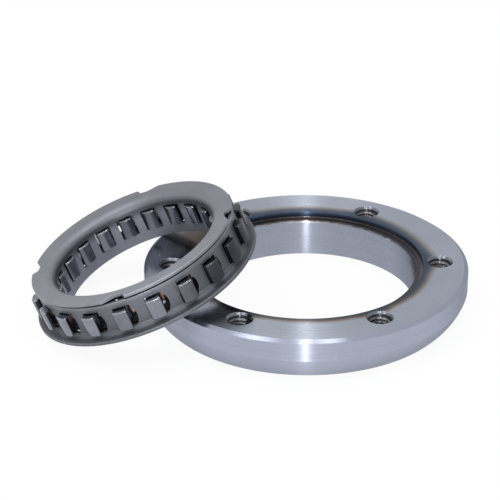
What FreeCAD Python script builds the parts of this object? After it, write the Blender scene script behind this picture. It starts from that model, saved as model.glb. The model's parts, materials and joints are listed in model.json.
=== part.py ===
import FreeCAD, Part
import os
import Sketcher

# Sprag clutch: a flat outer race, and beside it the caged sprag unit that goes into the race.
# The unit lies as it was laid down, leaning on the race's edge.
# Frame: +Z up, origin at the centre of the race's bore, on the race's flat back.

# Driving sizes in millimetres, angles in degrees, counts as plain numbers
SIZES = {
    # Outer race
    "race_radius": 58.0,
    "race_height": 16.0,
    "race_face_radius": 56.6,
    "race_chamfer_height": 1.0,
    "race_back_radius": 52.9,
    "relief_height": 8.1,
    "relief_arc": 18.0,
    "bore_radius": 39.1,
    "bore_mouth": 0.35,
    "bore_mouth_depth": 1.0,
    "seat_radius": 42.0,
    "seat_depth": 2.1,
    "tapped_circle_radius": 48.0,
    "tapped_hole_radius": 4.0,
    "countersink_radius": 4.75,
    "tapped_hole_count": 6.0,
    "tapped_hole_phase": 2.0,
    # Where the sprag unit lies: its bottom centre, its lean, and the way that it leans
    "unit_x": -56.3,
    "unit_y": -9.5,
    "unit_z": 15.08,
    "unit_lean": 21.3,
    "unit_heading": -174.0,
    "unit_phase": -11.0,
    # Shared by the two cages
    "sprag_count": 20.0,
    "sheet": 1.3,
    "sheet_edge": 0.25,
    # Outer cage
    "outer_flange_radius": 41.7,
    "outer_band_radius": 37.7,
    "outer_band_height": 13.3,
    "ledge_height": 2.8,
    "ledge_width": 0.35,
    "ledge_fillet": 1.5,
    "outer_window_left": 2.95,
    "outer_window_right": 3.4,
    "outer_window_top": 11.0,
    "outer_window_step_height": 9.4,
    "outer_window_step": 0.6,
    "outer_window_foot": 0.1,
    "outer_window_arc": 6.0,
    "nick_depth": 0.9,
    "nick_width": 1.5,
    "nick_angle": 50.0,
    # Inner cage
    "inner_wall_radius": 29.9,
    "inner_wall_drop": 1.2,
    "inner_cage_height": 15.2,
    "inner_flange_radius": 38.15,
    "inner_bend": 4.2,
    "inner_window_side": 3.15,
    "inner_window_bottom": 2.6,
    "inner_window_top": 10.8,
    "notch_count": 4.0,
    "notch_floor_radius": 35.5,
    "notch_floor_left": 1.0,
    "notch_floor_right": 1.6,
    "notch_slope_left": 6.3,
    "notch_slope_right": 3.5,
    # Ribbon spring
    "ribbon_radius": 35.0,
    "ribbon_sheet": 0.3,
    "ribbon_bottom": 2.0,
    "ribbon_height": 10.2,
    "ribbon_window_left": 2.8,
    "ribbon_window_right": 3.9,
    "tab_centre": 3.15,
    "tab_side": 0.95,
    "tab_radius": 0.97,
    "tab_sink": 0.1,
    "tab_bottom": 6.4,
    "tab_length": 3.6,
    # Sprag section, measured from its rocking axis: out is away from the unit's axis
    "rock_radius": 34.0,
    "sprag_bottom": 3.0,
    "sprag_length": 7.5,
    "head_left_out": 5.4,
    "head_left_side": 3.1,
    "head_right_out": 6.2,
    "head_right_side": 2.6,
    "head_crown": 7.5,
    "shoulder_left_out": 3.4,
    "shoulder_left_side": 2.7,
    "shoulder_right_out": 4.4,
    "shoulder_right_side": 2.2,
    "waist_left_in": 3.0,
    "waist_left_side": 2.25,
    "waist_right_in": 2.9,
    "waist_right_side": 2.25,
    "waist_arc": 9.0,
    "foot_left_in": 5.5,
    "foot_left_side": 2.6,
    "foot_right_in": 4.6,
    "foot_right_side": 2.6,
    "foot_crown": 5.0,
    "sprag_corner": 0.7,
    "sprag_easing": 0.3,
}

doc = FreeCAD.newDocument("sprag_clutch")
table = doc.addObject("Spreadsheet::Sheet", "sizes")
for row, (alias, size) in enumerate(SIZES.items(), start=1):
    table.set("A%d" % row, alias)
    table.set("B%d" % row, str(size))
    table.setAlias("B%d" % row, alias)
doc.recompute()

Z_AXIS = FreeCAD.Vector(0, 0, 1)


def total(phrase):
    """The number that a phrase of named sizes stands for, such as 'race_height - seat_depth'."""
    result = 0.0
    sign = 1.0
    for word in phrase.split():
        if word == "+":
            sign = 1.0
        elif word == "-":
            sign = -1.0
        else:
            result += sign * (0.0 if word == "0" else SIZES[word])
    return result


def bound(phrase):
    """The same phrase as an expression on the sheet's cells."""
    return " ".join(word if word in "+-0" else "sizes." + word for word in phrase.split())


def turned(degrees, height=0.0):
    """A placement turned about Z and lifted along it."""
    return FreeCAD.Placement(FreeCAD.Vector(0, 0, height), FreeCAD.Rotation(Z_AXIS, degrees))


def unit_placement(turn=0.0, out=0.0):
    """Where a piece of the leaning unit lies: turned about the unit's axis, then moved out from it."""
    place = FreeCAD.Vector(total("unit_x"), total("unit_y"), total("unit_z"))
    heading = FreeCAD.Rotation(Z_AXIS, SIZES["unit_heading"])
    lean = FreeCAD.Rotation(FreeCAD.Vector(0, 1, 0), SIZES["unit_lean"])
    unit = FreeCAD.Placement(place, heading.multiply(lean))
    shift = FreeCAD.Placement(FreeCAD.Vector(out, 0, 0), FreeCAD.Rotation())
    return unit.multiply(turned(SIZES["unit_phase"] + turn)).multiply(shift)


def new_body(name, placement=None):
    """An empty body whose label is the piece's name."""
    body = doc.addObject("PartDesign::Body", name)
    body.Label = name
    if placement is not None:
        body.Placement = placement
    return body


def new_sketch(body, name, role, offset=None):
    """An empty sketch on one of the body's own origin planes."""
    plane = next(item for item in body.Origin.OriginFeatures if item.Role == role)
    sketch = body.newObject("Sketcher::SketchObject", name)
    sketch.AttachmentSupport = [(plane, "")]
    sketch.MapMode = "FlatFace"
    if offset is not None:
        sketch.AttachmentOffset = offset
    return sketch


def pin_point(sketch, edge, end, across, up, name):
    """Hold one end of a sketch edge at named sizes from the sketch's origin."""
    for kind, phrase, axis in (("DistanceX", across, -2), ("DistanceY", up, -1)):
        if phrase == "0":
            sketch.addConstraint(Sketcher.Constraint("PointOnObject", edge, end, axis))
            continue
        rule = Sketcher.Constraint(kind, -1, 1, edge, end, total(phrase))
        index = sketch.addConstraint(rule)
        label = "%s_%s" % (name, kind[-1].lower())
        sketch.renameConstraint(index, label)
        sketch.setExpression("Constraints." + label, bound(phrase))


def arc_centre(start, end, radius, side):
    """The centre of the short arc between two points, left (+1) or right (-1) of the way."""
    way = end - start
    normal = FreeCAD.Vector(-way.y, way.x, 0).normalize()
    rise = (radius ** 2 - (way.Length / 2) ** 2) ** 0.5
    return start + way * 0.5 + normal * (side * rise)


def outline(sketch, corners, arcs=None):
    """A closed loop through named corners. arcs gives, by the corner it starts from, radius and side."""
    arcs = arcs or {}
    points = [FreeCAD.Vector(total(across), total(up), 0) for across, up in corners]
    count = len(points)
    ends = []
    for index, start in enumerate(points):
        end = points[(index + 1) % count]
        if index in arcs:
            phrase, side = arcs[index]
            radius = total(phrase)
            circle = Part.Circle(arc_centre(start, end, radius, side), Z_AXIS, radius)
            first, last = (start, end) if side > 0 else (end, start)
            curve = Part.ArcOfCircle(circle, circle.parameter(first), circle.parameter(last))
            edge = sketch.addGeometry(curve, False)
            ends.append((edge, 1, 2) if side > 0 else (edge, 2, 1))
        else:
            edge = sketch.addGeometry(Part.LineSegment(start, end), False)
            ends.append((edge, 1, 2))
    for index in range(count):
        edge, _, tail = ends[index]
        following, head, _ = ends[(index + 1) % count]
        sketch.addConstraint(Sketcher.Constraint("Coincident", edge, tail, following, head))
    for index, (across, up) in enumerate(corners):
        edge, head, _ = ends[index]
        pin_point(sketch, edge, head, across, up, "corner_%d" % index)
    for index, (phrase, side) in arcs.items():
        rule = sketch.addConstraint(Sketcher.Constraint("Radius", ends[index][0], total(phrase)))
        label = "arc_%d" % index
        sketch.renameConstraint(rule, label)
        sketch.setExpression("Constraints." + label, bound(phrase))


def revolve(body, name, corners, arcs=None):
    """A ring turned from its section, with radius across and height up."""
    sketch = new_sketch(body, name + "_section", "XZ_Plane")
    outline(sketch, corners, arcs)
    ring = body.newObject("PartDesign::Revolution", name)
    ring.Profile = sketch
    ring.ReferenceAxis = (sketch, ["V_Axis"])
    ring.Angle = 360
    return ring


def repeat(body, name, feature, count):
    """Repeat a feature round the body's axis, and make the pattern the body's tip."""
    axis = next(item for item in body.Origin.OriginFeatures if item.Role == "Z_Axis")
    pattern = body.newObject("PartDesign::PolarPattern", name)
    pattern.Originals = [feature]
    pattern.Axis = (axis, [""])
    pattern.Angle = 360
    pattern.setExpression("Occurrences", bound(count))
    body.Tip = pattern
    return pattern


def punch(body, name, corners, arcs=None):
    """Cut a window straight out through the wall on the body's +X side."""
    sketch = new_sketch(body, name + "_outline", "YZ_Plane")
    outline(sketch, corners, arcs)
    window = body.newObject("PartDesign::Pocket", name)
    window.Profile = sketch
    window.Type = "ThroughAll"
    window.Reversed = True
    return window


def make_outer_race():
    """Turned ring: relieved back edge, chamfered face, seat for the unit's flange, tapped holes."""
    body = new_body("outer_race")
    corners = [
        ("bore_radius", "0"),
        ("race_back_radius", "0"),
        ("race_radius", "relief_height"),
        ("race_radius", "race_height - race_chamfer_height"),
        ("race_face_radius", "race_height"),
        ("seat_radius", "race_height"),
        ("seat_radius", "race_height - seat_depth"),
        ("bore_radius + bore_mouth", "race_height - seat_depth"),
        ("bore_radius", "race_height - seat_depth - bore_mouth_depth"),
    ]
    revolve(body, "turned_ring", corners, {1: ("relief_arc", 1)})
    face = turned(SIZES["tapped_hole_phase"], SIZES["race_height"])
    sketch = new_sketch(body, "tapped_hole_centre", "XY_Plane", face)
    spot = FreeCAD.Vector(SIZES["tapped_circle_radius"], 0, 0)
    circle = sketch.addGeometry(Part.Circle(spot, Z_AXIS, SIZES["tapped_hole_radius"]), False)
    pin_point(sketch, circle, 3, "tapped_circle_radius", "0", "hole")
    rule = Sketcher.Constraint("Radius", circle, SIZES["tapped_hole_radius"])
    sketch.renameConstraint(sketch.addConstraint(rule), "hole_radius")
    sketch.setExpression("Constraints.hole_radius", bound("tapped_hole_radius"))
    doc.recompute()
    hole = body.newObject("PartDesign::Hole", "tapped_hole")
    hole.Profile = sketch
    hole.Threaded = False
    hole.DepthType = "ThroughAll"
    hole.HoleCutType = "Countersink"
    hole.HoleCutCountersinkAngle = 90
    hole.setExpression("Diameter", "2 * sizes.tapped_hole_radius")
    hole.setExpression("HoleCutDiameter", "2 * sizes.countersink_radius")
    doc.recompute()
    repeat(body, "tapped_holes", hole, "tapped_hole_count")
    return body


def make_outer_cage():
    """Band with a flange at its foot, a stepped and bulged window for each sprag, one nick."""
    body = new_body("outer_cage", unit_placement())
    inside = "outer_band_radius - sheet"
    corners = [
        (inside, "0"),
        ("outer_flange_radius - sheet_edge", "0"),
        ("outer_flange_radius", "sheet_edge"),
        ("outer_flange_radius", "sheet - sheet_edge"),
        ("outer_flange_radius - sheet_edge", "sheet"),
        ("outer_band_radius + ledge_width + ledge_fillet", "sheet"),
        ("outer_band_radius + ledge_width", "ledge_height"),
        ("outer_band_radius", "ledge_height"),
        ("outer_band_radius", "outer_band_height - sheet_edge"),
        ("outer_band_radius - sheet_edge", "outer_band_height"),
        (inside, "outer_band_height"),
    ]
    revolve(body, "flanged_band", corners, {5: ("ledge_fillet", -1)})
    step = "outer_window_right + outer_window_step"
    window = punch(body, "outer_window", [
        ("- outer_window_left", "ledge_height"),
        ("outer_window_right + outer_window_foot", "ledge_height"),
        (step, "outer_window_step_height"),
        ("outer_window_right", "outer_window_step_height"),
        ("outer_window_right", "outer_window_top"),
        ("- outer_window_left", "outer_window_top"),
    ], {1: ("outer_window_arc", 1)})
    repeat(body, "outer_windows", window, "sprag_count")
    sketch = new_sketch(body, "nick_outline", "XY_Plane", turned(SIZES["nick_angle"]))
    outline(sketch, [
        ("outer_flange_radius - nick_depth", "0"),
        ("outer_flange_radius + nick_depth", "- nick_width"),
        ("outer_flange_radius + nick_depth", "nick_width"),
    ])
    nick = body.newObject("PartDesign::Pocket", "nick")
    nick.Profile = sketch
    nick.Type = "ThroughAll"
    nick.Reversed = True
    return body


def make_inner_cage():
    """Wall that flares into a flange at its top, with a window for each sprag and four notches."""
    body = new_body("inner_cage", unit_placement())
    corners = [
        ("inner_wall_radius", "- inner_wall_drop"),
        ("inner_wall_radius + sheet", "- inner_wall_drop"),
        ("inner_wall_radius + sheet", "inner_cage_height - inner_bend"),
        ("inner_wall_radius + inner_bend", "inner_cage_height - sheet"),
        ("inner_flange_radius - sheet_edge", "inner_cage_height - sheet"),
        ("inner_flange_radius", "inner_cage_height - sheet + sheet_edge"),
        ("inner_flange_radius", "inner_cage_height - sheet_edge"),
        ("inner_flange_radius - sheet_edge", "inner_cage_height"),
        ("inner_wall_radius + inner_bend", "inner_cage_height"),
        ("inner_wall_radius", "inner_cage_height - inner_bend"),
    ]
    revolve(body, "flared_wall", corners, {2: ("inner_bend - sheet", -1), 8: ("inner_bend", 1)})
    window = punch(body, "inner_window", [
        ("- inner_window_side", "inner_window_bottom"),
        ("inner_window_side", "inner_window_bottom"),
        ("inner_window_side", "inner_window_top"),
        ("- inner_window_side", "inner_window_top"),
    ])
    repeat(body, "inner_windows", window, "sprag_count")
    sketch = new_sketch(body, "notch_outline", "XY_Plane")
    outline(sketch, [
        ("notch_floor_radius", "- notch_floor_left"),
        ("inner_flange_radius", "- notch_slope_left"),
        ("outer_flange_radius", "- notch_slope_left"),
        ("outer_flange_radius", "notch_slope_right"),
        ("inner_flange_radius", "notch_slope_right"),
        ("notch_floor_radius", "notch_floor_right"),
    ])
    notch = body.newObject("PartDesign::Pocket", "notch")
    notch.Profile = sketch
    notch.Type = "ThroughAll"
    notch.Reversed = True
    repeat(body, "notches", notch, "notch_count")
    return body


def make_ribbon_spring():
    """Thin ribbon round the sprags, with a window and a curled tab for each of them."""
    body = new_body("ribbon_spring", unit_placement())
    top = "ribbon_bottom + ribbon_height"
    revolve(body, "ribbon", [
        ("ribbon_radius", "ribbon_bottom"),
        ("ribbon_radius + ribbon_sheet", "ribbon_bottom"),
        ("ribbon_radius + ribbon_sheet", top),
        ("ribbon_radius", top),
    ])
    window = punch(body, "ribbon_window", [
        ("- ribbon_window_left", "ledge_height"),
        ("ribbon_window_right", "ledge_height"),
        ("ribbon_window_right", "outer_window_top"),
        ("- ribbon_window_left", "outer_window_top"),
    ])
    repeat(body, "ribbon_windows", window, "sprag_count")
    centre = "ribbon_radius - tab_sink"
    lift = turned(0, SIZES["tab_bottom"])
    sketch = new_sketch(body, "tab_outline", "XY_Plane", lift)
    outline(sketch, [
        (centre, "tab_centre - tab_side"),
        (centre, "tab_centre + tab_side"),
        (centre, "tab_centre + tab_side - ribbon_sheet"),
        (centre, "tab_centre - tab_side + ribbon_sheet"),
    ], {0: ("tab_radius", 1), 2: ("tab_radius - ribbon_sheet", -1)})
    tab = body.newObject("PartDesign::Pad", "tab")
    tab.Profile = sketch
    tab.setExpression("Length", bound("tab_length"))
    repeat(body, "tabs", tab, "sprag_count")
    return body


def corner_edges(block, corners):
    """Names of the upright edges that stand at the given section corners."""
    names = []
    for number, edge in enumerate(block.Shape.Edges, start=1):
        low = edge.Vertexes[0].Point
        high = edge.Vertexes[-1].Point
        upright = abs(low.x - high.x) + abs(low.y - high.y) < 1e-6 < abs(low.z - high.z)
        if upright and any(abs(low.x - x) + abs(low.y - y) < 1e-3 for x, y in corners):
            names.append("Edge%d" % number)
    return names


def end_edges(block):
    """Names of the edges that lie flat, round the two ends of an upright block."""
    names = []
    for number, edge in enumerate(block.Shape.Edges, start=1):
        if edge.BoundBox.ZLength < 1e-6:
            names.append("Edge%d" % number)
    return names


def make_sprag(index):
    """One sprag: a waisted block whose head leans over, longer across one diagonal than the other."""
    turn = 360.0 / SIZES["sprag_count"] * index
    body = new_body("sprag_%02d" % (index + 1), unit_placement(turn, SIZES["rock_radius"]))
    lift = turned(0, SIZES["sprag_bottom"])
    sketch = new_sketch(body, "section_%02d" % (index + 1), "XY_Plane", lift)
    rounded = [
        ("head_left_out", "- head_left_side"),
        ("- foot_left_in", "- foot_left_side"),
        ("- foot_right_in", "foot_right_side"),
        ("head_right_out", "head_right_side"),
    ]
    outline(sketch, [
        rounded[0],
        ("shoulder_left_out", "- shoulder_left_side"),
        ("- waist_left_in", "- waist_left_side"),
        rounded[1],
        rounded[2],
        ("- waist_right_in", "waist_right_side"),
        ("shoulder_right_out", "shoulder_right_side"),
        rounded[3],
    ], {1: ("waist_arc", 1), 3: ("foot_crown", -1), 5: ("waist_arc", 1), 7: ("head_crown", -1)})
    block = body.newObject("PartDesign::Pad", "block_%02d" % (index + 1))
    block.Profile = sketch
    block.setExpression("Length", bound("sprag_length"))
    doc.recompute()
    corners = [(total(across), total(up)) for across, up in rounded]
    rounding = body.newObject("PartDesign::Fillet", "rounding_%02d" % (index + 1))
    rounding.Base = (block, corner_edges(block, corners))
    rounding.setExpression("Radius", bound("sprag_corner"))
    doc.recompute()
    easing = body.newObject("PartDesign::Chamfer", "easing_%02d" % (index + 1))
    easing.Base = (rounding, end_edges(rounding))
    easing.setExpression("Size", bound("sprag_easing"))
    body.Tip = easing
    return body


pieces = [make_outer_race(), make_outer_cage(), make_inner_cage(), make_ribbon_spring()]
pieces += [make_sprag(index) for index in range(int(SIZES["sprag_count"]))]
doc.recompute()

for item in doc.Objects:
    if "Invalid" in item.State or "Error" in item.State:
        raise RuntimeError("%s failed: %s" % (item.Name, item.State))
for piece in pieces:
    shape = piece.Shape
    if shape.isNull() or not shape.isValid() or len(shape.Solids) != 1:
        raise RuntimeError("%s isn't one valid solid" % piece.Label)

os.makedirs("parts", exist_ok=True)
for piece in pieces:
    piece.Shape.exportStep("parts/%s.step" % piece.Label)
    print("%-14s %9.1f mm3" % (piece.Label, piece.Shape.Volume))
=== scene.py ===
import json
import math
import bmesh
import bpy
from mathutils import Matrix, Vector


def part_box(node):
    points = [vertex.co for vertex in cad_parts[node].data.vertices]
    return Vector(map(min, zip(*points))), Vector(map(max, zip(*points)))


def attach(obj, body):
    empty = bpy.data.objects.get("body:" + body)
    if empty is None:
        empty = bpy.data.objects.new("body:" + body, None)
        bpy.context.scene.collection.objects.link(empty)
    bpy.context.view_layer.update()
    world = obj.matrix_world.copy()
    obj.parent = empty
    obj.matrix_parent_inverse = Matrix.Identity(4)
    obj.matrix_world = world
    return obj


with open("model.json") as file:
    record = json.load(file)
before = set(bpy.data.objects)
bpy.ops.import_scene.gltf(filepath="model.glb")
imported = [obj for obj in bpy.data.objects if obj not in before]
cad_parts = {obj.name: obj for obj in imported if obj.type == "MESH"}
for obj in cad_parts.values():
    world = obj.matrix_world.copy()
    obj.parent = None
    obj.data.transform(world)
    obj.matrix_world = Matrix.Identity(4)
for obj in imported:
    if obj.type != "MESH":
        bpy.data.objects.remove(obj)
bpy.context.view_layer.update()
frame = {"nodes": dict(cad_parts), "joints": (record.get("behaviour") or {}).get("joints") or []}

# Sprag clutch on a white table: a turned outer race, and the caged sprag unit leaning on it.
# Metres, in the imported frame: origin at the centre of the race's bore, on its flat back, +Z up.

MM = 0.001
NODES = frame["nodes"]
SPRAGS = sorted(name for name in NODES if name.startswith("sprag_"))

# Sizes of the race
RACE_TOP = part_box("outer_race")[1][2]
RACE_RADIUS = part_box("outer_race")[1][0]
CHAMFER_WIDTH = 1.4 * MM
SEAT_RADIUS = 42.0 * MM
# The side's paler steel reaches in to this radius under the race
SIDE_INNER_RADIUS = 52.7 * MM

# Sizes of the tapped holes, with the phase in degrees
HOLE_COUNT = 6
HOLE_CIRCLE = 48.0 * MM
HOLE_PHASE = 2.0
COUNTERSINK_RADIUS = 4.75 * MM
COUNTERSINK_DEPTH = 0.75 * MM

# Sizes of the threads in them, whose ridges' roots are sunk a little in the holes' walls
THREAD_PITCH = 1.25 * MM
THREAD_ROOT = 4.05 * MM
THREAD_CREST = 3.38 * MM
THREAD_START = 0.6 * THREAD_PITCH
THREAD_END = RACE_TOP - COUNTERSINK_DEPTH - 0.5 * THREAD_PITCH
THREAD_STEPS = 40
# Half the width of a ridge at its root and at its crest, as shares of the pitch
ROOT_SHARE = 0.44
CREST_SHARE = 0.06

# The sprag unit's axis, and the middle of its foot on that axis
UNIT_MIDDLE = 7.6 * MM
CAGE_TURN = next(joint for joint in frame["joints"] if joint["name"] == "inner_cage_turn")
UNIT_AXIS = Vector(CAGE_TURN["axis"]).normalized()
UNIT_FOOT = Vector(CAGE_TURN["pos_m"]) - UNIT_AXIS * UNIT_MIDDLE

# Camera: how far and how high it stands, its turns from looking straight at the origin, and its lens
CAMERA_DISTANCE = 811.8 * MM
CAMERA_ELEVATION = 28.08
CAMERA_PAN = 1.43
CAMERA_TILT = -1.32
CAMERA_ROLL = 0.42
CAMERA_LENS = 161.64
CAMERA_SENSOR = 36.0
CAMERA_NEAREST = 0.01
CAMERA_FARTHEST = 20.0

# Metal colours, as linear values
RACE_STEEL = (0.43, 0.47, 0.545)
BORE_STEEL = (0.33, 0.355, 0.435)
RIM_STEEL = (0.405, 0.435, 0.535)
# Outwards from the seat's edge, as a share of the tinted band's width
HEAT_STOPS = [
    (0.0, (0.085, 0.105, 0.145)),
    (0.25, (0.110, 0.135, 0.180)),
    (0.45, (0.175, 0.180, 0.205)),
    (0.60, (0.275, 0.270, 0.285)),
    (0.75, (0.350, 0.345, 0.370)),
    (0.88, (0.400, 0.405, 0.440)),
    (1.0, RACE_STEEL),
]
# What turns the tint's blues to browns towards the near side
BROWNING = (1.0, 0.86, 0.76)
# A brown mark on the face beside the sprag unit, partly real tint and partly a painted dark reflection of
# the unit, and where it lies
STAIN_AND_PAINTED_REFLECTION = (0.11, 0.09, 0.08)
STAIN_AND_REFLECTION_PLACE = (-39.0 * MM, 20.0 * MM, RACE_TOP)
# How much of the bare metal's brightness is left where it is seen at a grazing angle
EDGE_TINT = (0.5, 0.5, 0.5, 1.0)
# Down the seat's wall, in across its ledge and down the bore's mouth, as a share of SEAT_PATH
SEAT_PATH = 6.5 * MM
SEAT_STOPS = [
    (0.0, (0.085, 0.115, 0.180)),
    (0.10, (0.045, 0.070, 0.115)),
    (0.28, (0.020, 0.026, 0.045)),
    (0.34, (0.25, 0.22, 0.23)),
    (0.43, (0.20, 0.17, 0.17)),
    (0.50, (0.065, 0.055, 0.060)),
    (0.72, (0.055, 0.046, 0.048)),
    (0.80, (0.14, 0.12, 0.12)),
    (0.86, (0.38, 0.38, 0.42)),
    (1.0, BORE_STEEL),
]
# Rusty brown that half darkens the holes: partly rust, partly painted shade in them
HOLE_RUST_AND_SHADE = (0.09, 0.08, 0.075)
THREAD_DARK = (0.14, 0.135, 0.14)
THREAD_BRIGHT = (0.30, 0.30, 0.33)
FLANGE_STEEL = (0.27, 0.28, 0.318)
BAND_STEEL = (0.158, 0.167, 0.190)
# Painted shade on the cage's bend just under the top flange
BEND_PAINTED_SHADE = (0.075, 0.080, 0.092)
# Painted light: the inner wall paler low down than the steel under the flange
WALL_PAINTED_LIGHT = (0.35, 0.363, 0.418)
# Painted shade in the gap between the two cages
CAGE_PAINTED_SHADE = (0.03, 0.03, 0.033)
CAGE_WORN = (0.42, 0.43, 0.47)
SPRAG_STEEL = (0.160, 0.165, 0.195)
# Bright sprag edges: partly wear, partly painted highlight
SPRAG_EDGE_WEAR_AND_HIGHLIGHT = (0.66, 0.67, 0.72)
SPRING_COPPER = (0.95, 0.62, 0.47)
# Painted shade over the spring strip between the cages
SPRING_PAINTED_SHADE = (0.035, 0.022, 0.018)

# Each pattern's bumps a metre, its detail and its roughness
PATTERNS = {
    "tool_marks": (5200.0, 3.0, 0.6),
    "turning_rings": (420.0, 2.0, 0.5),
    "heat_patches": (38.0, 2.0, 0.5),
    "stain_and_reflection_edge": (60.0, 2.0, 0.5),
    "frayed_edge": (700.0, 3.0, 0.6),
    "thread_grain": (2500.0, 2.0, 0.5),
    "cage_grain": (3800.0, 3.0, 0.65),
    "cage_clouds": (95.0, 3.0, 0.5),
    "draw_marks": (3000.0, 2.0, 0.5),
    "sprag_clouds": (130.0, 2.0, 0.5),
    "copper_mottle": (420.0, 3.0, 0.5),
    "copper_grain": (3000.0, 2.0, 0.5),
}
# A pattern runs from 0 to 1, and most of it lies between a low and a high value round its middle
PATTERN_LOW = 0.3
PATTERN_MIDDLE = 0.5
PATTERN_HIGH = 0.7
# How much of a length along the unit's axis the draw marks leave out, so that they run along it
DRAWN_OUT = 0.94

# How far in from an edge it is worn; on the sprags that edge is partly wear and partly painted highlight
CAGE_WEAR = 0.25 * MM
SPRAG_EDGE_WIDTH = 0.30 * MM
# How far edges look rounded, and over how many samples that is worked out
RACE_ROUNDING = 0.18 * MM
UNIT_ROUNDING = 0.2 * MM
ROUNDING_SAMPLES = 4
# The shader counts a full turn as 1
QUARTER_TURN = 0.25

FLOOR_SIZE = 6.0
FLOOR_MATTE = (0.9, 0.9, 0.9, 1.0)
PLAIN_WHITE = (1.0, 1.0, 1.0, 1.0)
# The share of the table that is plain white to the eye, which leaves a faint shadow
FLOOR_GLOW = 0.92

# Lamps: azimuth and elevation in degrees, distance, width and height in metres, and watts
LAMPS = {
    "front_strip": (0.0, 13.0, 1.2, 0.02, 0.35, 3.8),
    "high_strip": (-1.0, 60.0, 1.2, 0.02, 0.4, 0.6),
    "top_strip": (0.0, 105.0, 1.2, 0.02, 1.0, 0.7),
    "right_high": (38.0, 75.0, 1.2, 0.17, 0.4, 1.0),
    "left_high": (-58.0, 65.0, 1.2, 0.30, 0.4, 1.6),
    "right_low": (12.0, 25.0, 1.3, 0.35, 0.6, 0.6),
    "left_low": (-10.0, 25.0, 1.3, 0.30, 0.6, 0.7),
}


def add(tree, kind, sockets=None, **settings):
    """Add a shader node, set its properties, and give its inputs values or other nodes' outputs."""
    node = tree.nodes.new("ShaderNode" + kind)
    for name, setting in settings.items():
        setattr(node, name, setting)
    for key, given in (sockets or {}).items():
        if isinstance(given, bpy.types.NodeSocket):
            tree.links.new(given, node.inputs[key])
        else:
            node.inputs[key].default_value = given
    return node


def calc(tree, operation, first, second):
    """One step of arithmetic between two numbers."""
    return add(tree, "Math", {0: first, 1: second}, operation=operation).outputs[0]


def product(tree, first, *others):
    """All the numbers given, multiplied together."""
    for other in others:
        first = calc(tree, "MULTIPLY", first, other)
    return first


def vector_calc(tree, operation, first, second=(0.0, 0.0, 0.0)):
    """One step of arithmetic between two vectors, which gives a number or a vector."""
    node = add(tree, "VectorMath", {0: first, 1: second}, operation=operation)
    gives_number = operation in ("DOT_PRODUCT", "LENGTH", "DISTANCE")
    return node.outputs["Value" if gives_number else "Vector"]


def scaled(tree, vector, factor):
    """A vector or a colour times a number."""
    return add(tree, "VectorMath", {0: vector, "Scale": factor}, operation="SCALE").outputs["Vector"]


def span(tree, given, low, high, to_low=0.0, to_high=1.0):
    """Map a number from one range to another, held at the ends. By default 0 at low and 1 at high."""
    sockets = {"Value": given, "From Min": low, "From Max": high, "To Min": to_low, "To Max": to_high}
    return add(tree, "MapRange", sockets).outputs["Result"]


def spread(tree, pattern, low, high):
    """Map a pattern from where most of it lies to a range of its own."""
    return span(tree, pattern, PATTERN_LOW, PATTERN_HIGH, low, high)


def drift(tree, pattern, width):
    """How far a pattern moves an edge to either side, over this width in all."""
    return product(tree, calc(tree, "SUBTRACT", pattern, PATTERN_MIDDLE), width)


def blend_colours(tree, factor, first, second):
    """Mix two colours, each a triple or another node's output."""
    # The mix node keeps its two colours in inputs 6 and 7, and their mix in output 2
    node = add(tree, "Mix", {0: factor}, data_type="RGBA")
    for index, given in ((6, first), (7, second)):
        if isinstance(given, bpy.types.NodeSocket):
            tree.links.new(given, node.inputs[index])
        else:
            node.inputs[index].default_value = (*given, 1.0)
    return node.outputs[2]


def colour_ramp(tree, given, stops):
    """A colour for each value of a number, from stops of (value, colour)."""
    node = add(tree, "ValToRGB", {"Fac": given})
    elements = node.color_ramp.elements
    while len(elements) < len(stops):
        elements.new(1.0)
    for element, (position, colour) in zip(elements, stops):
        element.position = position
        element.color = (*colour, 1.0)
    return node.outputs["Color"]


def new_metal(name):
    """A metallic material, its tree and its shader."""
    material = bpy.data.materials.new(name)
    material.use_nodes = True
    shader = material.node_tree.nodes["Principled BSDF"]
    shader.inputs["Metallic"].default_value = 1.0
    return material, material.node_tree, shader


def paint(tree, shader, colour, roughness):
    """Give a metal its colour and its roughness."""
    tree.links.new(colour, shader.inputs["Base Color"])
    tree.links.new(roughness, shader.inputs["Roughness"])


def brush(tree, shader, tangent):
    """Stretch a metal's reflections across its tool marks, a quarter turn from the tangent along them."""
    shader.inputs["Anisotropic"].default_value = 1.0
    shader.inputs["Anisotropic Rotation"].default_value = QUARTER_TURN
    tree.links.new(tangent, shader.inputs["Tangent"])


def rounded_edges(tree, radius):
    """The surface's direction, as if its edges were rounded to a radius."""
    return add(tree, "Bevel", {"Radius": radius}, samples=ROUNDING_SAMPLES).outputs["Normal"]


def engrave(tree, shader, pattern, strength, depth, rounding):
    """Raise and sink a metal by a pattern, with its edges rounded."""
    rounded = rounded_edges(tree, rounding)
    sockets = {"Height": pattern, "Strength": strength, "Distance": depth, "Normal": rounded}
    tree.links.new(add(tree, "Bump", sockets).outputs[0], shader.inputs["Normal"])


def place(tree):
    """The point's place on the object, in metres."""
    return add(tree, "TexCoord").outputs["Object"]


def unit_place(tree, point):
    """A point's height along the sprag unit's axis from its foot, and its distance from that axis."""
    local = vector_calc(tree, "SUBTRACT", point, UNIT_FOOT)
    height = vector_calc(tree, "DOT_PRODUCT", local, UNIT_AXIS)
    along = scaled(tree, UNIT_AXIS, height)
    across = vector_calc(tree, "SUBTRACT", local, along)
    return height, vector_calc(tree, "LENGTH", across)


def noise(tree, vector, pattern):
    """One of the named patterns, as smooth noise from 0 to 1."""
    scale, detail, roughness = PATTERNS[pattern]
    sockets = {"Vector": vector, "Scale": scale, "Detail": detail, "Roughness": roughness}
    return add(tree, "TexNoise", sockets).outputs["Fac"]


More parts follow.
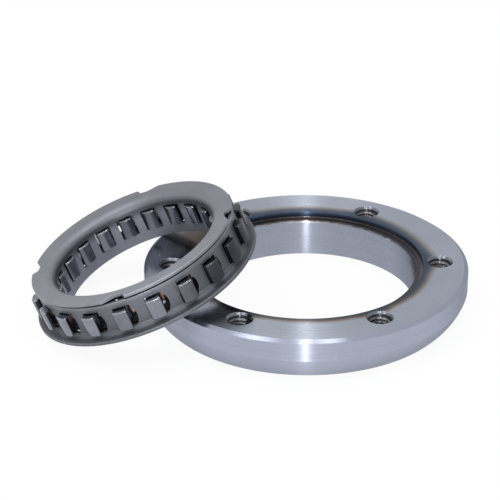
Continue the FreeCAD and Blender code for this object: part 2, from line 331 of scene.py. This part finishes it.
def sharp_edge_mask(tree, width):
    """1 on an edge sharper than the surface round it, 0 on flat metal."""
    flat = 0.995
    sharp = 0.85
    normal = add(tree, "NewGeometry").outputs["Normal"]
    likeness = vector_calc(tree, "DOT_PRODUCT", normal, rounded_edges(tree, width))
    return span(tree, likeness, flat, sharp)


def nearest_hole(tree, x, y):
    """How far a point of the race is from the nearest tapped hole's axis, and the way round that axis."""
    turn = calc(tree, "ARCTAN2", y, x)
    half = math.pi / HOLE_COUNT
    past = calc(tree, "SUBTRACT", turn, math.radians(HOLE_PHASE))
    past = add(tree, "Math", {0: past, 1: half, 2: -half}, operation="WRAP").outputs[0]
    turn = calc(tree, "SUBTRACT", turn, past)
    across = product(tree, calc(tree, "COSINE", turn, 0.0), HOLE_CIRCLE)
    up = product(tree, calc(tree, "SINE", turn, 0.0), HOLE_CIRCLE)
    from_x = calc(tree, "SUBTRACT", x, across)
    from_y = calc(tree, "SUBTRACT", y, up)
    aside = add(tree, "CombineXYZ", {0: from_x, 1: from_y}).outputs[0]
    upwards = (0.0, 0.0, 1.0)
    way = vector_calc(tree, "CROSS_PRODUCT", upwards, aside)
    return vector_calc(tree, "LENGTH", aside), vector_calc(tree, "NORMALIZE", way)


def heat_tint(tree, radius, y, gap, patch):
    """Heat tint round the seat: blue-black at its edge, paling to bare steel, browner on the near side."""
    # The tinted band is wider at the far side, and reaches out a little towards each hole
    width = span(tree, y, -30 * MM, 30 * MM, 3.6 * MM, 5.4 * MM)
    drawn_to_hole = span(tree, gap, 9.5 * MM, 4.5 * MM, 0.0, 0.8 * MM)
    edge = calc(tree, "ADD", drawn_to_hole, drift(tree, patch, 2.5 * MM))
    out = calc(tree, "SUBTRACT", calc(tree, "SUBTRACT", radius, SEAT_RADIUS), edge)
    heat = calc(tree, "DIVIDE", out, width)
    tint = colour_ramp(tree, heat, HEAT_STOPS)
    browned = vector_calc(tree, "MULTIPLY", tint, BROWNING)
    near = product(tree, span(tree, y, 10 * MM, -35 * MM), span(tree, heat, 1.0, 0.6))
    return blend_colours(tree, near, tint, browned)


def stain_and_painted_reflection(tree, point, colour):
    """A brown mark, partly real heat tint and partly a painted dark reflection of the sprag unit above it,
    that fades away round one place on the face.
    """
    ragged = product(tree, noise(tree, point, "stain_and_reflection_edge"), 12 * MM)
    gap = calc(tree, "ADD", vector_calc(tree, "DISTANCE", point, STAIN_AND_REFLECTION_PLACE), ragged)
    # Brown tint with a painted dark reflection of the sprag unit, fading out from its place
    stain_and_reflection = span(tree, gap, 12 * MM, 26 * MM, 0.9, 0.0)
    return blend_colours(tree, stain_and_reflection, colour, STAIN_AND_PAINTED_REFLECTION)


def seat_finish(tree, point, radius, x, z):
    """Dark scaled steel down the seat and across its ledge, with a bright frayed edge at its inner rim."""
    down = calc(tree, "SUBTRACT", RACE_TOP, z)
    inwards = calc(tree, "SUBTRACT", SEAT_RADIUS, radius)
    path = calc(tree, "ADD", down, inwards)
    mouth = span(tree, path, 3.6 * MM, 5.0 * MM)
    frayed = drift(tree, noise(tree, point, "frayed_edge"), 1.6 * MM)
    path = calc(tree, "ADD", path, product(tree, frayed, mouth))
    seat = colour_ramp(tree, calc(tree, "DIVIDE", path, SEAT_PATH), SEAT_STOPS)
    rubbed_bare = span(tree, x, 16 * MM, 34 * MM, 0.0, 0.15)
    return blend_colours(tree, rubbed_bare, seat, BORE_STEEL)


def race_colour(tree, point, radius, gap, patch):
    """The race's colours: tinted face with a brown mark and painted reflection, dark seat, plain bore,
    paler rim, and holes half darkened by rust and painted shade. Also, 1 in the holes, else 0.
    """
    x, y, z = add(tree, "SeparateXYZ", {0: point}).outputs
    face = stain_and_painted_reflection(tree, point, heat_tint(tree, radius, y, gap, patch))
    # Each mask is 0 at the first place that it names and 1 at the second
    below_face = span(tree, z, RACE_TOP - 0.01 * MM, RACE_TOP - 0.04 * MM)
    face_radius = RACE_RADIUS - CHAMFER_WIDTH
    chamfer = span(tree, radius, face_radius - 0.1 * MM, face_radius + 0.1 * MM)
    outwards = span(tree, radius, SIDE_INNER_RADIUS, SIDE_INNER_RADIUS + 0.1 * MM)
    inwards = span(tree, radius, SEAT_RADIUS + 0.45 * MM, SEAT_RADIUS + 0.35 * MM)
    by_hole = span(tree, gap, COUNTERSINK_RADIUS + 0.1 * MM, COUNTERSINK_RADIUS - 0.15 * MM)
    side = product(tree, below_face, outwards)
    in_seat = product(tree, below_face, inwards)
    in_hole = product(tree, below_face, by_hole)
    colour = blend_colours(tree, below_face, face, BORE_STEEL)
    colour = blend_colours(tree, calc(tree, "MAXIMUM", chamfer, side), colour, RIM_STEEL)
    colour = blend_colours(tree, in_seat, colour, seat_finish(tree, point, radius, x, z))
    # The holes are half darkened: partly rust, partly painted shade
    half_rust_and_shade = product(tree, in_hole, 0.5)
    return blend_colours(tree, half_rust_and_shade, colour, HOLE_RUST_AND_SHADE), in_hole


def turned_steel():
    """Ground and turned steel: rings of fine tool marks, heat tint round the seat, dark seat."""
    material, tree, shader = new_metal("turned_steel")
    point = place(tree)
    x, y, z = add(tree, "SeparateXYZ", {0: point}).outputs
    radius = vector_calc(tree, "LENGTH", add(tree, "CombineXYZ", {0: x, 1: y}).outputs[0])
    ring_place = add(tree, "CombineXYZ", {0: radius, 1: z}).outputs[0]
    marks = noise(tree, ring_place, "tool_marks")
    rings = noise(tree, ring_place, "turning_rings")
    patch = noise(tree, point, "heat_patches")
    gap, way_round_hole = nearest_hole(tree, x, y)

    colour, in_hole = race_colour(tree, point, radius, gap, patch)
    shade = product(tree, spread(tree, marks, 0.95, 1.04), spread(tree, patch, 0.95, 1.04))
    rough = calc(tree, "ADD", spread(tree, rings, 0.26, 0.29), spread(tree, marks, -0.01, 0.01))
    paint(tree, shader, scaled(tree, colour, shade), rough)
    shader.inputs["Specular Tint"].default_value = EDGE_TINT

    # The mix node keeps its two vectors in inputs 4 and 5, and their mix in output 1
    way_round_race = add(tree, "Tangent", direction_type="RADIAL", axis="Z").outputs[0]
    ways = {0: in_hole, 4: way_round_race, 5: way_round_hole}
    brush(tree, shader, add(tree, "Mix", ways, data_type="VECTOR").outputs[1])
    engrave(tree, shader, marks, strength=0.02, depth=0.02 * MM, rounding=RACE_ROUNDING)
    return material


def thread_steel():
    """Freshly cut thread: dark, with brighter grain."""
    material, tree, shader = new_metal("thread_steel")
    grain = noise(tree, place(tree), "thread_grain")
    colour = blend_colours(tree, spread(tree, grain, 0.0, 1.0), THREAD_DARK, THREAD_BRIGHT)
    paint(tree, shader, colour, spread(tree, grain, 0.30, 0.38))
    brush(tree, shader, add(tree, "Tangent", direction_type="RADIAL", axis="Z").outputs[0])
    return material


def cage_colour(tree, height, radius):
    """The cages' colours on the band, bend, top flange and inner wall, and between the cages, with painted
    shade on the bend under the top flange and between the cages, and painted light on the inner wall low
    down.
    """
    # Each mask is 0 at the first place that it names and 1 at the second
    # Painted shade on the bend just under the top flange
    bend = span(tree, radius, 34.5 * MM, 33.5 * MM)
    flange = span(tree, height, 11.6 * MM, 13.8 * MM)
    # Painted light on the inner wall low down
    wall = product(tree, span(tree, radius, 31.0 * MM, 30.5 * MM), span(tree, height, 12.0 * MM, 8.0 * MM))
    # Painted shade in the gap between the cages
    painted_shade_between_cages = product(
        tree,
        span(tree, radius, 30.6 * MM, 30.9 * MM),
        span(tree, radius, 36.6 * MM, 36.5 * MM),
        span(tree, height, 13.6 * MM, 13.2 * MM),
        span(tree, height, 0.1 * MM, 0.4 * MM),
    )
    colour = blend_colours(tree, bend, BAND_STEEL, BEND_PAINTED_SHADE)
    colour = blend_colours(tree, flange, colour, FLANGE_STEEL)
    colour = blend_colours(tree, wall, colour, WALL_PAINTED_LIGHT)
    return blend_colours(tree, painted_shade_between_cages, colour, CAGE_PAINTED_SHADE)


def pressed_steel():
    """Tumbled pressed steel: matte grey with paler worn edges, painted shade between the cages and under
    the top flange, and painted light on the inner wall low down and on the near side.
    """
    material, tree, shader = new_metal("pressed_steel")
    point = place(tree)
    y = add(tree, "SeparateXYZ", {0: point}).outputs[1]
    height, radius = unit_place(tree, point)
    grain = noise(tree, point, "cage_grain")
    clouds = noise(tree, point, "cage_clouds")
    patchy = span(tree, clouds, 0.35, 0.6, 0.35, 1.0)
    wear = product(tree, sharp_edge_mask(tree, CAGE_WEAR), patchy)
    colour = blend_colours(tree, wear, cage_colour(tree, height, radius), CAGE_WORN)
    # Painted light: the cages paler on the near side and darker at the back
    painted_light_near = span(tree, y, -45 * MM, 25 * MM, 1.12, 0.85)
    shade = product(tree, spread(tree, grain, 0.90, 1.08), spread(tree, clouds, 0.93, 1.05), painted_light_near)
    rough = calc(tree, "SUBTRACT", spread(tree, grain, 0.44, 0.54), product(tree, wear, 0.1))
    rougher_foot = span(tree, height, 3.5 * MM, 11.0 * MM, 0.18, 0.0)
    paint(tree, shader, scaled(tree, colour, shade), calc(tree, "ADD", rough, rougher_foot))
    engrave(tree, shader, grain, strength=0.25, depth=0.03 * MM, rounding=UNIT_ROUNDING)
    return material


def sprag_steel():
    """Hardened and polished steel: dark, with bright corners that are partly wear and partly painted
    highlight, and faint draw marks along each sprag.
    """
    material, tree, shader = new_metal("sprag_steel")
    point = place(tree)
    x = add(tree, "SeparateXYZ", {0: point}).outputs[0]
    radius = unit_place(tree, point)[1]
    upright = vector_calc(tree, "DOT_PRODUCT", point, UNIT_AXIS)
    drawn = vector_calc(tree, "SUBTRACT", point, scaled(tree, DRAWN_OUT * UNIT_AXIS, upright))
    marks = noise(tree, drawn, "draw_marks")
    clouds = noise(tree, point, "sprag_clouds")
    each_sprag = add(tree, "ObjectInfo").outputs["Random"]
    # Edges: partly wear, partly painted highlight
    colour = blend_colours(tree, sharp_edge_mask(tree, SPRAG_EDGE_WIDTH), SPRAG_STEEL, SPRAG_EDGE_WEAR_AND_HIGHLIGHT)
    # Painted light and shade: the heads are bright at the left and dark at the right, and the feet are
    # alike, a little dark as painted shade inside the cage
    painted_light_on_heads = span(tree, x, -48 * MM, -32 * MM, 1.4, 0.36)
    shade = product(
        tree,
        spread(tree, marks, 0.95, 1.05),
        span(tree, each_sprag, 0.0, 1.0, 0.85, 1.15),
        spread(tree, clouds, 0.85, 1.12),
        span(tree, radius, 29 * MM, 34 * MM, 0.9, painted_light_on_heads),
    )
    paint(tree, shader, scaled(tree, colour, shade), spread(tree, marks, 0.22, 0.30))
    engrave(tree, shader, marks, strength=0.03, depth=0.02 * MM, rounding=UNIT_ROUNDING)
    return material


def spring_copper():
    """Copper-coloured spring strip, mottled by heat, and dark with painted shade apart from the outer ends
    of its tabs, whose copper fades out to the right as painted light.
    """
    material, tree, shader = new_metal("spring_copper")
    point = place(tree)
    x = add(tree, "SeparateXYZ", {0: point}).outputs[0]
    height, radius = unit_place(tree, point)
    grain = noise(tree, point, "copper_grain")
    mottle = noise(tree, point, "copper_mottle")
    # Painted light and shade: copper shows only on the outer ends of the tabs, fading out to the right,
    # and the rest is painted shade
    bright = product(
        tree,
        span(tree, radius, 35.2 * MM, 35.4 * MM),
        span(tree, height, 6.4 * MM, 7.6 * MM),
        span(tree, x, -58 * MM, -46 * MM, 1.0, 0.15),
        span(tree, mottle, 0.3, 0.6, 0.6, 1.0),
    )
    colour = blend_colours(tree, bright, SPRING_PAINTED_SHADE, SPRING_COPPER)
    colour = scaled(tree, colour, spread(tree, grain, 0.9, 1.1))
    paint(tree, shader, colour, spread(tree, grain, 0.42, 0.52))
    return material


def dress(name, material):
    """Give a CAD node its material in place of the one that it came with."""
    mesh = NODES[name].data
    mesh.materials.clear()
    mesh.materials.append(material)


def thread_ridge(work, centre):
    """A helical ridge round a hole's axis, which rises over half a turn at each end."""
    total = int((THREAD_END - THREAD_START) / THREAD_PITCH * THREAD_STEPS)
    run_in = THREAD_STEPS / 2
    rows = []
    for step in range(total + 1):
        angle = math.tau * step / THREAD_STEPS
        height = THREAD_START + (THREAD_END - THREAD_START) * step / total
        rise = min(1.0, step / run_in, (total - step) / run_in)
        crest = THREAD_ROOT - (THREAD_ROOT - THREAD_CREST) * rise
        row = []
        for radius, share in ((THREAD_ROOT, -ROOT_SHARE), (crest, -CREST_SHARE),
                              (crest, CREST_SHARE), (THREAD_ROOT, ROOT_SHARE)):
            spot = (radius * math.cos(angle), radius * math.sin(angle), height + share * THREAD_PITCH)
            row.append(work.verts.new(centre + Vector(spot)))
        rows.append(row)
    for low, high in zip(rows, rows[1:]):
        for side in range(3):
            work.faces.new((low[side], high[side], high[side + 1], low[side + 1]))
    bmesh.ops.recalc_face_normals(work, faces=work.faces)


def make_thread(number, material):
    """The thread of one tapped hole, from just under its countersink to near the race's back."""
    turn = math.radians(HOLE_PHASE + 360.0 / HOLE_COUNT * number)
    work = bmesh.new()
    thread_ridge(work, Vector((HOLE_CIRCLE * math.cos(turn), HOLE_CIRCLE * math.sin(turn), 0.0)))
    mesh = bpy.data.meshes.new("hole_thread_%d" % number)
    work.to_mesh(mesh)
    work.free()
    mesh.materials.append(material)
    thread = bpy.data.objects.new(mesh.name, mesh)
    bpy.context.scene.collection.objects.link(thread)
    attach(thread, "outer_race")


def make_floor():
    """White table that shows only a faint shadow."""
    bpy.ops.mesh.primitive_plane_add(size=FLOOR_SIZE)
    floor = bpy.context.object
    floor.name = "floor"
    material = bpy.data.materials.new("white_table")
    material.use_nodes = True
    tree = material.node_tree
    tree.nodes.clear()
    path = add(tree, "LightPath")
    seen = calc(tree, "MAXIMUM", path.outputs["Is Camera Ray"], path.outputs["Is Glossy Ray"])
    seen = calc(tree, "MAXIMUM", seen, path.outputs["Is Transmission Ray"])
    matte = add(tree, "BsdfDiffuse", {"Color": FLOOR_MATTE}).outputs[0]
    white = add(tree, "Emission", {"Color": PLAIN_WHITE, "Strength": 1.0}).outputs[0]
    mixed = add(tree, "MixShader", {0: product(tree, seen, FLOOR_GLOW), 1: matte, 2: white})
    out = add(tree, "OutputMaterial")
    tree.links.new(mixed.outputs[0], out.inputs["Surface"])
    floor.data.materials.append(material)


def make_world():
    """White studio, a little dimmer low down and to the right, and plain white to the camera."""
    world = bpy.data.worlds.new("white_studio")
    bpy.context.scene.world = world
    world.use_nodes = True
    tree = world.node_tree
    tree.nodes.clear()
    to_camera = add(tree, "LightPath").outputs["Is Camera Ray"]
    direction = add(tree, "TexCoord").outputs["Generated"]
    parts = add(tree, "SeparateXYZ", {0: direction}).outputs
    dimmer_low = span(tree, parts["Z"], 0.0, 0.9, 0.9, 1.0)
    dimmer_right = span(tree, parts["X"], -0.6, 0.9, 1.0, 0.72)
    soft = product(tree, dimmer_low, dimmer_right)
    strength = calc(tree, "MAXIMUM", soft, to_camera)
    studio = add(tree, "Background", {"Color": PLAIN_WHITE, "Strength": strength})
    out = add(tree, "OutputWorld")
    tree.links.new(studio.outputs[0], out.inputs["Surface"])


def make_lamp(name, azimuth, elevation, distance, width, height, power):
    """A soft box that faces the origin. Azimuth 0 is the camera's side, 90 is to its right."""
    turn = math.radians(azimuth)
    rise = math.radians(elevation)
    flat = distance * math.cos(rise)
    spot = Vector((flat * math.sin(turn), -flat * math.cos(turn), distance * math.sin(rise)))
    light = bpy.data.lights.new(name, "AREA")
    light.shape = "RECTANGLE"
    light.size = width
    light.size_y = height
    light.energy = power
    lamp = bpy.data.objects.new(name, light)
    lamp.location = spot
    lamp.rotation_euler = (-spot).to_track_quat("-Z", "Y").to_euler()
    bpy.context.scene.collection.objects.link(lamp)


def make_camera():
    """The photograph's own viewpoint."""
    rise = math.radians(CAMERA_ELEVATION)
    spot = Vector((0.0, -CAMERA_DISTANCE * math.cos(rise), CAMERA_DISTANCE * math.sin(rise)))
    ahead = -spot.normalized()
    right = Vector((1.0, 0.0, 0.0))
    down = ahead.cross(right)
    aimed = Matrix((right, down, ahead))
    pan, tilt, roll = (math.radians(v) for v in (CAMERA_PAN, CAMERA_TILT, CAMERA_ROLL))
    panned = Matrix(((math.cos(pan), 0, math.sin(pan)), (0, 1, 0), (-math.sin(pan), 0, math.cos(pan))))
    tilted = Matrix(((1, 0, 0), (0, math.cos(tilt), -math.sin(tilt)), (0, math.sin(tilt), math.cos(tilt))))
    rolled = Matrix(((math.cos(roll), -math.sin(roll), 0), (math.sin(roll), math.cos(roll), 0), (0, 0, 1)))
    right, down, ahead = rolled @ tilted @ panned @ aimed
    data = bpy.data.cameras.new("camera")
    data.lens = CAMERA_LENS
    data.sensor_width = CAMERA_SENSOR
    data.clip_start = CAMERA_NEAREST
    data.clip_end = CAMERA_FARTHEST
    camera = bpy.data.objects.new("camera", data)
    camera.matrix_world = Matrix.Translation(spot) @ Matrix((right, -down, -ahead)).transposed().to_4x4()
    bpy.context.scene.collection.objects.link(camera)
    bpy.context.scene.camera = camera


dress("outer_race", turned_steel())
cage_finish = pressed_steel()
dress("outer_cage", cage_finish)
dress("inner_cage", cage_finish)
dress("ribbon_spring", spring_copper())
sprag_finish = sprag_steel()
for name in SPRAGS:
    dress(name, sprag_finish)
thread_finish = thread_steel()
for number in range(HOLE_COUNT):
    make_thread(number, thread_finish)

make_floor()
make_world()
for name, settings in LAMPS.items():
    make_lamp(name, *settings)
make_camera()
bpy.context.scene.view_settings.view_transform = "Standard"
